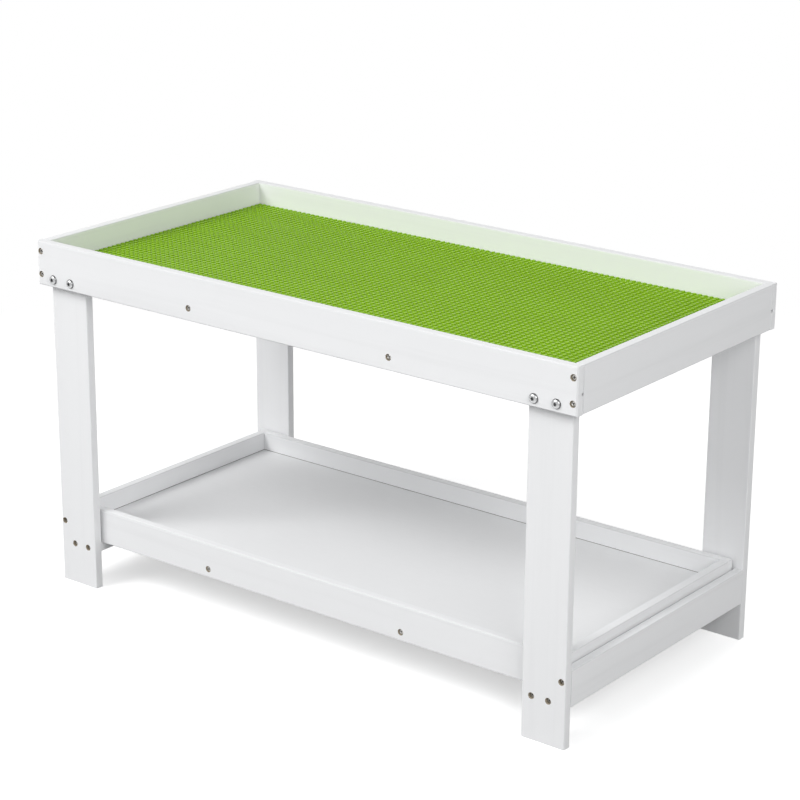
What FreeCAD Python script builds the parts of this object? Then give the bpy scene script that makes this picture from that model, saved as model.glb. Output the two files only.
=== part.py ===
import FreeCAD, Part
import os
import re

import Sketcher

# Play table: an open tray on four flat legs, whose floor carries two building plates, over a loose
# storage tray that rests on bearers low between the legs. Millimetres, +X along the table, +Y from
# the front to the back, +Z up, with the origin on the floor under the middle of the table.

# Driving sizes
SIZES = {
    # Building plates, side by side on the play panel
    "plate_length": 400.0,
    "plate_depth": 400.0,
    "plate_thickness": 1.6,
    "plate_corner_radius": 4.0,
    "plate_clearance": 0.5,
    # Boards round the play area
    "board_thickness": 12.0,
    "board_height": 57.0,
    "edge_radius": 1.5,
    # Panels, and the grooves that hold them
    "panel_thickness": 3.0,
    "panel_rise": 22.0,
    "panel_edge_gap": 1.0,
    "groove_depth": 4.0,
    "groove_play": 0.6,
    # Legs
    "leg_length": 428.0,
    "leg_width": 60.0,
    "leg_thickness": 12.0,
    # Low rails and bearers between the legs at each end
    "rail_rise": 49.0,
    "rail_height": 46.0,
    "rail_thickness": 12.0,
    "bearer_width": 46.0,
    "bearer_thickness": 12.0,
    # Storage tray
    "tray_clearance": 2.0,
    "tray_board_height": 46.0,
    "tray_board_thickness": 12.0,
    "tray_panel_rise": 17.5,
    # Cross battens under both panels
    "batten_width": 30.0,
    "batten_thickness": 12.0,
    "batten_spacing": 308.6,
    # Wood screws: a seat is how deep the head's underside lies below the face
    "screw_length": 34.0,
    "screw_diameter": 3.5,
    "screw_head_diameter": 7.0,
    "screw_head_height": 2.2,
    "screw_clearance": 0.5,
    "screw_head_clearance": 1.2,
    "board_screw_seat": 3.6,
    "leg_screw_seat": 5.4,
    # Screw places
    "corner_screw_drop": 13.0,
    "corner_screw_rise": 14.0,
    "rail_screw_rise": 34.5,
    "bearer_screw_spacing": 23.5,
    "tray_screw_drop": 12.0,
    "tray_screw_rise": 9.0,
    # Leg bolts and the insert nuts that they turn in
    "bolt_length": 22.0,
    "bolt_diameter": 6.0,
    "bolt_head_diameter": 12.0,
    "bolt_head_height": 3.0,
    "bolt_rim_chamfer": 1.5,
    "bolt_socket_width": 4.0,
    "bolt_socket_depth": 1.8,
    "bolt_clearance": 0.5,
    "bolt_rise": 10.0,
    "bolt_spacing": 30.0,
    "insert_length": 11.0,
    "insert_diameter": 9.0,
    "insert_flange_diameter": 12.0,
    "insert_flange_thickness": 1.2,
    # How far a cut runs past the face that it opens
    "overrun": 1.0,
}

# Sizes and places worked out from the driving sizes, where the front and the left end are negative
WORKED_OUT = {
    # Upper tray, its panel and its plates
    "inside_length": "2 * plate_length + 4 * plate_clearance",
    "inside_depth": "plate_depth + 2 * plate_clearance",
    "table_length": "inside_length + 2 * board_thickness",
    "table_left": "-table_length / 2",
    "table_front": "-inside_depth / 2 - board_thickness",
    "board_bottom": "leg_length - panel_rise",
    "panel_overlap": "groove_depth - panel_edge_gap",
    "panel_length": "inside_length + 2 * panel_overlap",
    "panel_depth": "inside_depth + 2 * panel_overlap",
    "plate_bottom": "leg_length + panel_thickness",
    # Legs, with the rails and bearers between them
    "leg_left": "table_left + board_thickness",
    "leg_front": "table_front + board_thickness",
    "leg_inner": "leg_front + leg_thickness",
    "rail_screw_height": "rail_rise + rail_screw_rise",
    "bearer_left": "leg_left + rail_thickness",
    "bearer_screw_near": "bearer_width / 2 - bearer_screw_spacing / 2",
    "bearer_screw_far": "bearer_width / 2 + bearer_screw_spacing / 2",
    "bearer_screw_height": "rail_rise + bearer_thickness / 2",
    # Storage tray
    "tray_left": "bearer_left + tray_clearance",
    "tray_front": "leg_inner + tray_clearance",
    "tray_inner": "tray_front + tray_board_thickness",
    "tray_bottom": "rail_rise + bearer_thickness",
    "tray_length": "-2 * tray_left",
    "tray_inside_length": "tray_length - 2 * tray_board_thickness",
    "tray_panel_length": "tray_inside_length + 2 * panel_overlap",
    "tray_panel_depth": "-2 * tray_inner + 2 * panel_overlap",
    "tray_panel_bottom": "tray_bottom + tray_panel_rise",
    # Battens
    "batten_middle": "batten_spacing / 2",
    "batten_screw_rise": "panel_rise - batten_thickness / 2",
    "tray_batten_screw_rise": "tray_panel_rise - batten_thickness / 2",
    # Screws in the corners of both trays, from the middle and from the lower edge
    "corner_screw_across": "table_length / 2 - board_thickness / 2",
    "corner_screw_top": "board_height - corner_screw_drop",
    "tray_screw_across": "tray_length / 2 - tray_board_thickness / 2",
    "tray_screw_top": "tray_board_height - tray_screw_drop",
    # Bolts, from the outer edge of the leg and from the floor
    "bolt_near": "leg_width / 2 - bolt_spacing / 2",
    "bolt_far": "leg_width / 2 + bolt_spacing / 2",
    "bolt_left": "leg_left + bolt_near",
    "bolt_height": "board_bottom + bolt_rise",
}

# Small fasteners and their bores have few flat sides, so that the many copies stay light
SCREW_SIDES = 10
BOLT_SIDES = 16
SOCKET_SIDES = 6

# A hexagon's width over its corners, as a share of its width over its flats
HEXAGON_CORNER_SHARE = 2 / 3 ** 0.5

# Chamfer on the upright edges of a long board's ends, as a share of the rounding along its edges
END_CHAMFER_SHARE = 1.1

# Axes of the table, and the origin plane across each of them
DIRECTIONS = {"X": FreeCAD.Vector(1, 0, 0), "Y": FreeCAD.Vector(0, 1, 0), "Z": FreeCAD.Vector(0, 0, 1)}
CROSS_PLANES = {"X": "YZ_Plane", "Y": "XZ_Plane", "Z": "XY_Plane"}

doc = FreeCAD.newDocument("PlayTable")
sheet = doc.addObject("Spreadsheet::Sheet", "Sizes")
cells = [(name, str(size)) for name, size in SIZES.items()]
cells += [(name, "=" + formula) for name, formula in WORKED_OUT.items()]
for row, (name, content) in enumerate(cells, start=1):
    sheet.set(f"A{row}", name)
    sheet.set(f"B{row}", content)
    sheet.setAlias(f"B{row}", name)
doc.recompute()

pieces = []


def in_sheet(formula):
    """The formula with every size looked up in the sheet."""
    return re.sub(r"[a-z_]+", r"Sizes.\g<0>", formula)


def bind(owner, path, formula):
    """Tie a property or a sketch constraint to a formula of named sizes."""
    owner.setExpression(path, in_sheet(formula))


def value(formula):
    """Present value of a formula of named sizes, where None stands for zero."""
    return 0.0 if formula is None else float(sheet.evalExpression(in_sheet(formula)))


def opposite(formula):
    """The formula with its sign turned round."""
    return f"-({formula})"


def origin_part(body, role):
    """Plane or axis of the body's own origin."""
    return next(part for part in body.Origin.OriginFeatures if part.Role == role)


def new_body(label):
    """Empty body for one piece, or for one set of fasteners."""
    body = doc.addObject("PartDesign::Body", label)
    body.Label = label
    pieces.append(body)
    return body


def place(body, x, y, z):
    """Put a piece at its place, where None stands for zero."""
    for axis, formula in (("x", x), ("y", y), ("z", z)):
        if formula is not None:
            bind(body, "Placement.Base." + axis, formula)
    doc.recompute()


def reflect(label, source, direction):
    """The matching piece on the other side of the table's middle."""
    copy = doc.addObject("Part::Mirroring", label)
    copy.Label = label
    copy.Source = source
    copy.Normal = DIRECTIONS[direction]
    pieces.append(copy)
    return copy


def locate(sketch, line, x, y):
    """Fix the start of a line at two distances from the sketch's origin, where None stands for zero."""
    for kind, axis, formula in (("DistanceX", -2, x), ("DistanceY", -1, y)):
        if formula is None:
            sketch.addConstraint(Sketcher.Constraint("PointOnObject", line, 1, axis))
            continue
        index = sketch.addConstraint(Sketcher.Constraint(kind, -1, 1, line, 1, value(formula)))
        sketch.renameConstraint(index, f"{kind}{line}")
        bind(sketch, f"Constraints.{kind}{line}", formula)


def section(body, run, name, left, bottom, right, top):
    """Rectangle on the plane across a piece's run."""
    sketch = body.newObject("Sketcher::SketchObject", name)
    sketch.AttachmentSupport = (origin_part(body, CROSS_PLANES[run]), [""])
    sketch.MapMode = "FlatFace"
    corners = [(left, bottom), (right, bottom), (right, top), (left, top)]
    spots = [FreeCAD.Vector(value(x), value(y), 0) for x, y in corners]
    lines = [
        sketch.addGeometry(Part.LineSegment(start, end))
        for start, end in zip(spots, spots[1:] + spots[:1])
    ]
    for line, after in zip(lines, lines[1:] + lines[:1]):
        sketch.addConstraint(Sketcher.Constraint("Coincident", line, 2, after, 1))
    for line, (x, y) in zip(lines, corners):
        locate(sketch, line, x, y)
    return sketch


def edges_along(shape, direction, beyond=None):
    """Names of the straight edges that run one way, or only of those past the middle another way."""
    names = []
    for index, edge in enumerate(shape.Edges, start=1):
        runs_so = edge.tangentAt(edge.FirstParameter).isParallel(direction, edge.Tolerance)
        if runs_so and (beyond is None or (edge.CenterOfMass - shape.CenterOfMass).dot(beyond) > 0):
            names.append(f"Edge{index}")
    return names


def stock(
    body, run, width, height, length, rounded=None, radius="edge_radius", centred=False, eased_end=False
):
    """Rectangular stock along an axis, beside its origin or centred on it, with edges rounded if asked."""
    pad = body.newObject("PartDesign::Pad", "Stock")
    pad.Profile = section(body, run, "Section", None, None, width, height)
    pad.SideType = "Symmetric" if centred else "One side"
    bind(pad, "Length", length)
    doc.recompute()
    sawn = pad
    if eased_end:
        sawn = body.newObject("PartDesign::Chamfer", "EasedEnd")
        sawn.Base = (pad, edges_along(pad.Shape, DIRECTIONS["Z"], beyond=DIRECTIONS[run]))
        bind(sawn, "Size", f"edge_radius * {END_CHAMFER_SHARE}")
        doc.recompute()
    if rounded:
        fillet = body.newObject("PartDesign::Fillet", "Rounding")
        fillet.Base = (sawn, edges_along(sawn.Shape, DIRECTIONS[rounded]))
        bind(fillet, "Radius", radius)
        doc.recompute()


def join_halves(body, run):
    """Join the modelled half of a piece to its mirror image."""
    whole = body.newObject("PartDesign::Mirrored", "BothHalves")
    whole.TransformMode = "Whole shape"
    whole.MirrorPlane = (origin_part(body, CROSS_PLANES[run]), [""])
    body.Tip = whole
    doc.recompute()


def check_cut(feature, volume_before):
    """Stop if a cut took nothing away."""
    doc.recompute()
    if not feature.Shape.Volume < volume_before:
        raise RuntimeError(feature.Label + " removes nothing")


def groove(body, run, thickness, panel_rise):
    """Groove for a panel's edge along the inner face, out through the end."""
    before = body.Shape.Volume
    floor = thickness + " - groove_depth"
    mouth = thickness + " + overrun"
    top = panel_rise + " + panel_thickness + groove_play"
    profile = section(body, run, "GrooveProfile", floor, panel_rise, mouth, top)
    cut = body.newObject("PartDesign::Pocket", "PanelGroove")
    cut.Profile = profile
    cut.Reversed = True
    cut.Type = "ThroughAll"
    check_cut(cut, before)


def prism(body, kind, name, sides, diameter, x, z, start, end):
    """Many-sided shank or bore along Y, from a start to an end, added or taken away."""
    feature = body.newObject(f"PartDesign::{kind}Prism", name)
    feature.AttachmentSupport = (origin_part(body, "XZ_Plane"), [""])
    feature.MapMode = "FlatFace"
    bind(feature, "AttachmentOffset.Base.x", x)
    bind(feature, "AttachmentOffset.Base.y", z)
    bind(feature, "AttachmentOffset.Base.z", opposite(end))
    feature.Refine = False
    feature.Polygon = sides
    bind(feature, "Circumradius", f"({diameter}) / 2")
    bind(feature, "Height", f"({end}) - ({start})")
    doc.recompute()
    return feature


def bore(body, name, sides, diameter, x, z, start, end):
    """Bore along Y that has to meet wood."""
    before = body.Shape.Volume
    check_cut(prism(body, "Subtractive", name, sides, diameter, x, z, start, end), before)


def screw_hole(body, x, z, seat, thickness):
    """Sunk seat for a screw's head in the face at y = 0, and a clearance hole through the board."""
    head = "screw_head_diameter + screw_head_clearance"
    shank = "screw_diameter + screw_clearance"
    bore(body, "HeadSeat", SCREW_SIDES, head, x, z, opposite("overrun"), seat)
    bore(body, "ShankHole", SCREW_SIDES, shank, x, z, opposite("overrun"), thickness + " + overrun")


def long_board(label, length, height, thickness, panel_rise, screws, bolts=()):
    """Side board along X, outer face at y = 0, grooved inside, drilled in one half and mirrored."""
    body = new_body(label)
    stock(body, "X", thickness, height, f"{length} / 2", "X", eased_end=True)
    groove(body, "X", thickness, panel_rise)
    for x, z in screws:
        screw_hole(body, x, z, "board_screw_seat", thickness)
    hole = "bolt_diameter + bolt_clearance"
    for x, z in bolts:
        bore(body, "BoltHole", BOLT_SIDES, hole, x, z, opposite("overrun"), thickness + " + overrun")
    join_halves(body, "X")
    return body


def cross_piece(label, width, height, front_end, screws, seat, cover, eased=True, panel_rise=None):
    """Piece along Y, screwed from both ends through a cover board, and grooved if it holds a panel."""
    body = new_body(label)
    stock(body, "Y", width, height, opposite(front_end), "Y" if eased else None)
    if panel_rise:
        groove(body, "Y", width, panel_rise)
    mouth = f"{front_end} - overrun"
    tip = f"{front_end} - {cover} + {seat} + screw_length"
    for x, z in screws:
        bore(body, "Pilot", SCREW_SIDES, "screw_diameter", x, z, mouth, tip)
    join_halves(body, "Y")
    return body


def leg(label):
    """Flat leg, outer face at y = 0 and outer edge at x = 0."""
    body = new_body(label)
    stock(body, "Z", "leg_width", "leg_thickness", "leg_length", "Z")
    face = opposite("overrun")
    through = "leg_thickness + overrun"
    for x in ("bolt_near", "bolt_far"):
        bore(body, "InsertHole", BOLT_SIDES, "insert_diameter", x, "bolt_height", face, through)
    for x, z in (
        ("rail_thickness / 2", "rail_screw_height"),
        ("rail_thickness + bearer_screw_near", "bearer_screw_height"),
        ("rail_thickness + bearer_screw_far", "bearer_screw_height"),
    ):
        screw_hole(body, x, z, "leg_screw_seat", "leg_thickness")
    return body


def thin_panel(label, length, depth, thickness, corner_radius=None):
    """Thin panel along X with its front edge at y = 0, and rounded corners if asked."""
    body = new_body(label)
    stock(body, "X", depth, thickness, length, "Z" if corner_radius else None, corner_radius, centred=True)
    return body


def repeat(body, row_axis=None, spacing=None):
    """Copies of the front left fastener: in pairs if asked, then at both ends, front and back."""
    copies = body.newObject("PartDesign::MultiTransform", "Copies")
    copies.TransformMode = "Whole shape"
    steps = []
    if row_axis:
        pair = body.newObject("PartDesign::LinearPattern", "Pair")
        pair.Direction = (origin_part(body, row_axis), [""])
        pair.Mode = "Spacing"
        pair.Occurrences = 2
        bind(pair, "Offset", spacing)
        steps.append(pair)
    for role in ("YZ_Plane", "XZ_Plane"):
        side = body.newObject("PartDesign::Mirrored", "OtherSide")
        side.MirrorPlane = (origin_part(body, role), [""])
        steps.append(side)
    copies.Transformations = steps
    body.Tip = copies
    doc.recompute()


def screw_set(label, x, z, seat, row_axis=None, spacing=None):
    """Wood screws, each with its head on a seat at a depth along Y."""
    body = new_body(label)
    head_face = seat + " - screw_head_height"
    prism(body, "Additive", "Head", SCREW_SIDES, "screw_head_diameter", x, z, head_face, seat)
    prism(body, "Additive", "Shank", SCREW_SIDES, "screw_diameter", x, z, seat, seat + " + screw_length")
    repeat(body, row_axis, spacing)


def bolt_set(label):
    """Round-headed bolts with a hexagon socket, heads on the outer faces of the long boards."""
    body = new_body(label)
    place_along = ("bolt_left", "bolt_height")
    face = "table_front - bolt_head_height"
    seat = "table_front"
    head = prism(body, "Additive", "Head", BOLT_SIDES, "bolt_head_diameter", *place_along, face, seat)
    front = min(range(len(head.Shape.Faces)), key=lambda index: head.Shape.Faces[index].CenterOfMass.y)
    rim = body.newObject("PartDesign::Chamfer", "Rim")
    rim.Base = (head, [f"Face{front + 1}"])
    bind(rim, "Size", "bolt_rim_chamfer")
    doc.recompute()
    corners = f"bolt_socket_width * {HEXAGON_CORNER_SHARE}"
    socket_floor = face + " + bolt_socket_depth"
    bore(body, "Socket", SOCKET_SIDES, corners, *place_along, face + " - overrun", socket_floor)
    tip = seat + " + bolt_length"
    prism(body, "Additive", "Shank", BOLT_SIDES, "bolt_diameter", *place_along, seat, tip)
    repeat(body, "X_Axis", "bolt_spacing")


def insert_set(label):
    """Flanged insert nuts, set into the legs from their inner faces."""
    body = new_body(label)
    place_along = ("bolt_left", "bolt_height")
    start = "leg_inner - insert_length"
    end = "leg_inner + insert_flange_thickness"
    prism(body, "Additive", "Sleeve", BOLT_SIDES, "insert_diameter", *place_along, start, "leg_inner")
    prism(body, "Additive", "Flange", BOLT_SIDES, "insert_flange_diameter", *place_along, "leg_inner", end)
    thread = (start + " - overrun", end + " + overrun")
    bore(body, "Thread", BOLT_SIDES, "bolt_diameter", *place_along, *thread)
    repeat(body, "X_Axis", "bolt_spacing")


# Upper tray
front_board = long_board(
    "front_board", "table_length", "board_height", "board_thickness", "panel_rise",
    screws=[
        ("corner_screw_across", "corner_screw_rise"),
        ("corner_screw_across", "corner_screw_top"),
        ("batten_middle", "batten_screw_rise"),
    ],
    bolts=[("-bolt_left", "bolt_rise"), ("-bolt_left - bolt_spacing", "bolt_rise")],
)
place(front_board, None, "table_front", "board_bottom")
reflect("back_board", front_board, "Y")
left_end_board = cross_piece(
    "left_end_board", "board_thickness", "board_height", "leg_front",
    screws=[("board_thickness / 2", rise) for rise in ("corner_screw_rise", "corner_screw_top")],
    seat="board_screw_seat", cover="board_thickness", panel_rise="panel_rise",
)
place(left_end_board, "table_left", None, "board_bottom")
reflect("right_end_board", left_end_board, "X")

# Square battens under the play panel
batten_screws = [("batten_width / 2", "batten_thickness / 2")]
left_top_batten = cross_piece(
    "left_top_batten", "batten_width", "batten_thickness", "leg_front", batten_screws,
    seat="board_screw_seat", cover="board_thickness", eased=False,
)
place(left_top_batten, "-batten_middle - batten_width / 2", None, "leg_length - batten_thickness")
reflect("right_top_batten", left_top_batten, "X")

# Play panel and building plates
play_panel = thin_panel("play_panel", "panel_length", "panel_depth", "panel_thickness")
place(play_panel, None, "-panel_depth / 2", "leg_length")
left_plate = thin_panel(
    "left_building_plate", "plate_length", "plate_depth", "plate_thickness", "plate_corner_radius"
)
place(left_plate, "-plate_length / 2 - plate_clearance", "-plate_depth / 2", "plate_bottom")
reflect("right_building_plate", left_plate, "X")

# Legs
front_left_leg = leg("front_left_leg")
place(front_left_leg, "leg_left", "leg_front", None)
reflect("front_right_leg", front_left_leg, "X")
back_left_leg = reflect("back_left_leg", front_left_leg, "Y")
reflect("back_right_leg", back_left_leg, "X")

# Rails low between the legs at each end, and the bearers beside them
left_end_rail = cross_piece(
    "left_end_rail", "rail_thickness", "rail_height", "leg_inner",
    screws=[("rail_thickness / 2", "rail_screw_rise")],
    seat="leg_screw_seat", cover="leg_thickness",
)
place(left_end_rail, "leg_left", None, "rail_rise")
reflect("right_end_rail", left_end_rail, "X")
left_bearer = cross_piece(
    "left_bearer", "bearer_width", "bearer_thickness", "leg_inner",
    screws=[(across, "bearer_thickness / 2") for across in ("bearer_screw_near", "bearer_screw_far")],
    seat="leg_screw_seat", cover="leg_thickness", eased=False,
)
place(left_bearer, "bearer_left", None, "rail_rise")
reflect("right_bearer", left_bearer, "X")

# Fasteners of the frame
board_seat = "table_front + board_screw_seat"
leg_seat = "leg_front + leg_screw_seat"
screw_set(
    "corner_screws", "-corner_screw_across", "board_bottom + corner_screw_rise", board_seat,
    "Z_Axis", "corner_screw_top - corner_screw_rise",
)
screw_set("top_batten_screws", "-batten_middle", "board_bottom + batten_screw_rise", board_seat)
screw_set("rail_screws", "leg_left + rail_thickness / 2", "rail_screw_height", leg_seat)
screw_set(
    "bearer_screws", "bearer_left + bearer_screw_near", "bearer_screw_height", leg_seat,
    "X_Axis", "bearer_screw_spacing",
)
bolt_set("leg_bolts")
insert_set("leg_insert_nuts")

# Storage tray, made like the upper one
tray_front_board = long_board(
    "tray_front_board", "tray_length", "tray_board_height", "tray_board_thickness", "tray_panel_rise",
    screws=[
        ("tray_screw_across", "tray_screw_rise"),
        ("tray_screw_across", "tray_screw_top"),
        ("batten_middle", "tray_batten_screw_rise"),
    ],
)
place(tray_front_board, None, "tray_front", "tray_bottom")
reflect("tray_back_board", tray_front_board, "Y")
tray_left_board = cross_piece(
    "tray_left_board", "tray_board_thickness", "tray_board_height", "tray_inner",
    screws=[("tray_board_thickness / 2", rise) for rise in ("tray_screw_rise", "tray_screw_top")],
    seat="board_screw_seat", cover="tray_board_thickness", panel_rise="tray_panel_rise",
)
place(tray_left_board, "tray_left", None, "tray_bottom")
reflect("tray_right_board", tray_left_board, "X")
left_tray_batten = cross_piece(
    "left_tray_batten", "batten_width", "batten_thickness", "tray_inner", batten_screws,
    seat="board_screw_seat", cover="tray_board_thickness", eased=False,
)
place(left_tray_batten, "-batten_middle - batten_width / 2", None, "tray_panel_bottom - batten_thickness")
reflect("right_tray_batten", left_tray_batten, "X")
tray_panel = thin_panel("tray_panel", "tray_panel_length", "tray_panel_depth", "panel_thickness")
place(tray_panel, None, "-tray_panel_depth / 2", "tray_panel_bottom")
tray_seat = "tray_front + board_screw_seat"
screw_set(
    "tray_corner_screws", "-tray_screw_across", "tray_bottom + tray_screw_rise", tray_seat,
    "Z_Axis", "tray_screw_top - tray_screw_rise",
)
screw_set("tray_batten_screws", "-batten_middle", "tray_bottom + tray_batten_screw_rise", tray_seat)

# Check the whole document, then write one file for each piece
doc.recompute()
for item in doc.Objects:
    if "Invalid" in item.State or "Error" in item.State:
        raise RuntimeError(item.Label + " failed to recompute")
for piece in pieces:
    if piece.Shape.isNull() or not piece.Shape.isValid():
        raise RuntimeError(piece.Label + " has no valid shape")
os.makedirs("parts", exist_ok=True)
for piece in pieces:
    piece.Shape.exportStep("parts/" + piece.Label + ".step")
print(len(pieces), "pieces,", sum(len(piece.Shape.Solids) for piece in pieces), "solids")
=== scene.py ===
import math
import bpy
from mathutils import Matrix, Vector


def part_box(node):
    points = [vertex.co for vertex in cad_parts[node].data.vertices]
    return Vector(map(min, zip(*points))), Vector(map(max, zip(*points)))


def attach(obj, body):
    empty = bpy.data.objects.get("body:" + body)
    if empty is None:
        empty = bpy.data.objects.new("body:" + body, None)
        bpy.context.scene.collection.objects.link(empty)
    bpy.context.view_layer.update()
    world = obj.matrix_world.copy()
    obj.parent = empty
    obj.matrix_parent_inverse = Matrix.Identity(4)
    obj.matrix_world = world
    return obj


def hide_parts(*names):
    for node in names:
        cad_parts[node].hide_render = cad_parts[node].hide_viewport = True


bl_info = {
    "name": "Play table finish",
    "version": (1, 0, 0),
    "blender": (4, 5, 0),
    "location": "View3D > Sidebar > Play table",
    "description": "Paints a play table, sets its studs, screws and bolts, and puts it on a plain stage",
    "category": "Object",
}

import bmesh
import bpy
from mathutils import Vector

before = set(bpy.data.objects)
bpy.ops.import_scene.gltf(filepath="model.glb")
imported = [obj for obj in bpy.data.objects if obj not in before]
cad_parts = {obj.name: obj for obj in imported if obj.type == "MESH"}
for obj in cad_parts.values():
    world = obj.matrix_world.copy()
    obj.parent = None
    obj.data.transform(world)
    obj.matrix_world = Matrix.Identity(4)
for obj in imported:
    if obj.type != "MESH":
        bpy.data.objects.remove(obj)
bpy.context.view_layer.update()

MM = 0.001

# Nodes of the packed model, by how they are finished
LONG_BOARDS = ("front_board", "back_board", "tray_front_board", "tray_back_board")
CROSS_BOARDS = (
    "left_end_board", "right_end_board", "left_top_batten", "right_top_batten",
    "left_end_rail", "right_end_rail", "left_bearer", "right_bearer",
    "tray_left_board", "tray_right_board", "left_tray_batten", "right_tray_batten",
)
LEGS = ("front_left_leg", "front_right_leg", "back_left_leg", "back_right_leg")
PLATES = ("left_building_plate", "right_building_plate")
BOARD_SCREWS = ("corner_screws", "top_batten_screws")
LEG_SCREWS = ("rail_screws", "bearer_screws")
TRAY_SCREWS = ("tray_corner_screws", "tray_batten_screws")

# Each panel, with the end board and the side board whose inner faces it runs behind
PANELS = (
    ("play_panel", "right_end_board", "back_board"),
    ("tray_panel", "tray_right_board", "tray_back_board"),
)
GROOVE_FADE = 0.1 * MM

# Outlines of the fasteners, each width a share of the radius and each depth a share of the length or height
SHANK_SHARE = 0.5
SCREW_TIP_SHARES = ((0.25, 1.0), (0.8, 0.82), (1.0, 0.74))
SCREW_HEAD_SHARES = ((1.0, 1.0), (1.0, 0.55), (0.93, 0.27), (0.80, 0.08), (0.68, 0.0))
BOLT_TIP_SHARES = ((0.8, 1.0), (1.0, 0.95))
BOLT_HEAD_SHARES = ((1.0, 1.0), (0.98, 0.80), (0.91, 0.52), (0.80, 0.28), (0.67, 0.10), (0.54, 0.0))
SLEEVE_SHARE = 0.75
BORE_SHARE = 0.5
SEAT_HOLE_SHARE = 0.5

# How deep the bright flat of a head reaches, below which its colour is painted shade, and how wide a recess
# still is at its floor
SCREW_FLAT_SHARE = 0.1
BOLT_FLAT_SHARE = 0.3
CROSS_FLOOR_SHARE = 0.5
SOCKET_FLOOR_SHARE = 0.94

# Small sizes of the fasteners, and how finely they are turned
NUT_FLANGE = 1.2 * MM
NUT_EASE = 0.25 * MM
SEAT_RIM = 0.02 * MM
SEAT_FLOOR = 0.05 * MM
SCREW_SIDES = 24
BOLT_SIDES = 32
SMOOTH_ANGLE = math.radians(40)
JOIN_DISTANCE = 0.001 * MM
PLACE_DIGITS = 4

# Fixed seeds for the spin of the fasteners
SEEDS = {
    "frame_screws": 3, "tray_screws": 8, "bolts": 4, "insert_nuts": 6,
    "board_screw_seats": 5, "leg_screw_seats": 5, "tray_screw_seats": 5,
}

# Each lamp's power setting, place and width, and the point that all of them face
LAMPS = {
    "front_lamp": ("key", (-1.60, -2.65, 2.65), 2.0),
    "side_lamp": ("side", (2.75, -1.55, 1.98), 2.0),
    "back_lamp": ("back", (0.10, 3.60, 0.60), 1.1),
}
LAMP_TARGET = (0.0, 0.0, 0.25)

# Floor, room and camera
FLOOR_REACH = 9.0
FLOOR_FADE = (0.6, 1.5)
FLOOR_SEEN = (0.96, 0.96, 0.96, 1.0)
FLOOR_UNSEEN = (0.36, 0.36, 0.36, 1.0)
ROOM_SEEN = (1.0, 1.0, 1.0, 1.0)
ROOM_UNSEEN = (0.99, 0.995, 1.0, 1.0)
SENSOR_WIDTH = 36.0
VIEW_DEPTH = 100.0

# Sockets that share their name with others on the same node, by their number
MIX_SHARE, MIX_FIRST, MIX_SECOND, MIX_RESULT = 0, 6, 7, 2
RANDOM_MOST, RANDOM_RESULT = 3, 1


# Settings that a user would change
class PaintSettings(bpy.types.PropertyGroup):
    """White paint on the boards, legs and panels"""

    paint: bpy.props.FloatVectorProperty(
        name="Paint", description="Colour of the satin paint on the boards and legs",
        subtype="COLOR", size=3, min=0.0, max=1.0, default=(0.846, 0.851, 0.860),
    )
    grain: bpy.props.FloatVectorProperty(
        name="Grain", description="Colour of the paint where the grain shows through it",
        subtype="COLOR", size=3, min=0.0, max=1.0, default=(0.785, 0.790, 0.797),
    )
    panel: bpy.props.FloatVectorProperty(
        name="Panel paint", description="Colour of the paint on the two thin panels",
        subtype="COLOR", size=3, min=0.0, max=1.0, default=(0.808, 0.812, 0.818),
    )
    # The groove colour is bare board, made darker as painted shade for the shade in the joint line.
    groove: bpy.props.FloatVectorProperty(
        name="Groove", description="Colour of the bare board where a panel sits in its grooves",
        subtype="COLOR", size=3, min=0.0, max=1.0, default=(0.150, 0.138, 0.120),
    )
    raw_wood: bpy.props.FloatVectorProperty(
        name="Raw wood", description="Colour of the bare wood in the screw seats",
        subtype="COLOR", size=3, min=0.0, max=1.0, default=(0.350, 0.305, 0.235),
    )
    # The worn colour is painted shade that tones down the highlight along the rounded edges, and also paint
    # rubbed thin there.
    worn_and_shaded: bpy.props.FloatVectorProperty(
        name="Worn paint", description="Colour of the paint where it is rubbed thin along the level edges",
        subtype="COLOR", size=3, min=0.0, max=1.0, default=(0.720, 0.724, 0.732),
    )
    edge: bpy.props.FloatProperty(
        name="Soft edge", description="How far the paint softens a sharp edge",
        subtype="DISTANCE", unit="LENGTH", min=0.0, default=0.6 * MM,
    )


class StudSettings(bpy.types.PropertyGroup):
    """Studs on the building plates"""

    plastic: bpy.props.FloatVectorProperty(
        name="Plastic", description="Colour of the moulded plates and studs",
        subtype="COLOR", size=3, min=0.0, max=1.0, default=(0.276, 0.512, 0.0124),
    )
    pitch: bpy.props.FloatProperty(
        name="Pitch", description="Distance between neighbouring studs",
        subtype="DISTANCE", unit="LENGTH", min=0.0, default=8.0 * MM,
    )
    diameter: bpy.props.FloatProperty(
        name="Diameter", description="Width of a stud",
        subtype="DISTANCE", unit="LENGTH", min=0.0, default=4.9 * MM,
    )
    height: bpy.props.FloatProperty(
        name="Height", description="Height of a stud above the plate",
        subtype="DISTANCE", unit="LENGTH", min=0.0, default=1.7 * MM,
    )
    rim: bpy.props.FloatProperty(
        name="Rim", description="Width and height of the rounded rim of a stud",
        subtype="DISTANCE", unit="LENGTH", min=0.0, default=0.35 * MM,
    )
    sides: bpy.props.IntProperty(
        name="Sides", description="Sides of a stud", min=6, max=16, default=12,
    )


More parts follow.
